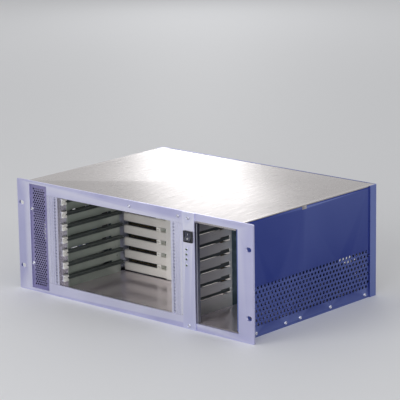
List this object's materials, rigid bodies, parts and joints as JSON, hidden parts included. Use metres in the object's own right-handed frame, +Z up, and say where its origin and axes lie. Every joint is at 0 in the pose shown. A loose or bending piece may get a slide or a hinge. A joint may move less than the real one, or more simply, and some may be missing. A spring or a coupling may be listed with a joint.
{
  "type": "subrack card cage",
  "caption": "Rack-mounted card cage for cards that lie flat, with side guides, a backplane, a module bay, a control strip, a perforated vent and fans behind it.",
  "frame": {"origin": "middle of the bounding box's base, on the underside of the base tray", "axes": "+X to the right as seen from the front, along the rack's width; +Y from the front frame to the rear; +Z up"},
  "size_m": [0.4826, 0.3234, 0.177],
  "materials": {
    "anodised_front": "satin anodised, pale lilac",
    "grille_sheet": "satin anodised, darker lilac",
    "rail_metal": "bright clear anodised",
    "steel_screws": "bright zinc plated",
    "black_plastic": "moulded",
    "rocker_blue": "moulded, dark blue-black",
    "lens_red": "tinted lens",
    "circuit_board": "lacquered glass-fibre laminate",
    "cage_sheet": "zinc plated, satin",
    "dark_rails": "moulded, dark grey",
    "white_plastic": "moulded, ivory white",
    "zinc_steel": "zinc plated",
    "wall_sheet": "satin blue-grey",
    "cover_sheet": "satin anodised, warm grey",
    "rotor_plastic": "moulded"
  },
  "bodies": {
    "chassis": {"front_frame": "anodised_front", "vent_grille": "grille_sheet", "grille_screws": "steel_screws", "control_strip": "anodised_front", "strip_screws": "steel_screws", "front_screws": "steel_screws", "switch_housing": "black_plastic", "indicator_lenses": "lens_red", "indicator_board": "circuit_board", "board_spacers": "steel_screws", "left_front_rail": "rail_metal", "right_front_rail": "rail_metal", "left_tapped_strip": "steel_screws", "right_tapped_strip": "steel_screws", "left_cage_wall": "cage_sheet", "right_cage_wall": "cage_sheet", "left_guide_post": "dark_rails", "right_guide_post": "dark_rails", "left_card_guides": "dark_rails", "right_card_guides": "dark_rails", "left_guide_noses": "white_plastic", "right_guide_noses": "white_plastic", "cage_floor": "cage_sheet", "bay_floor": "cage_sheet", "bay_return_angle": "zinc_steel", "left_backplane_bracket": "zinc_steel", "right_backplane_bracket": "zinc_steel", "backplane_board": "circuit_board", "channel_bars": "rail_metal", "tie_straps": "zinc_steel", "edge_sockets": "white_plastic", "power_sockets": "white_plastic", "coding_blocks": "white_plastic", "backplane_screws": "steel_screws", "base_tray": "zinc_steel", "left_side_wall": "wall_sheet", "right_side_wall": "wall_sheet", "wall_screws": "steel_screws", "top_cover": "cover_sheet", "rear_frame": "wall_sheet", "rear_card_panel": "cover_sheet", "rear_bay_panel": "cover_sheet", "rear_screws": "steel_screws", "fan_plate": "zinc_steel", "front_fan_frame": "black_plastic", "rear_fan_frame": "black_plastic", "fan_screws": "steel_screws"},
    "rocker": {"switch_rocker": "rocker_blue"},
    "front_rotor": {"front_fan_rotor": "rotor_plastic"},
    "rear_rotor": {"rear_fan_rotor": "rotor_plastic"}
  },
  "joints": [
    {"name": "rocker_tilt", "type": "hinge", "parent": "chassis", "child": "rocker", "pos_m": [0.11875, -0.15637, 0.1405], "axis": [1, 0, 0], "range_deg": [0, 14]},
    {"name": "front_fan_spin", "type": "hinge", "parent": "chassis", "child": "front_rotor", "pos_m": [-0.1978, -0.06887, 0.0885], "axis": [1, 0, 0], "continuous": true},
    {"name": "rear_fan_spin", "type": "hinge", "parent": "chassis", "child": "rear_rotor", "pos_m": [-0.1978, 0.05413, 0.0885], "axis": [1, 0, 0], "continuous": true}
  ]
}
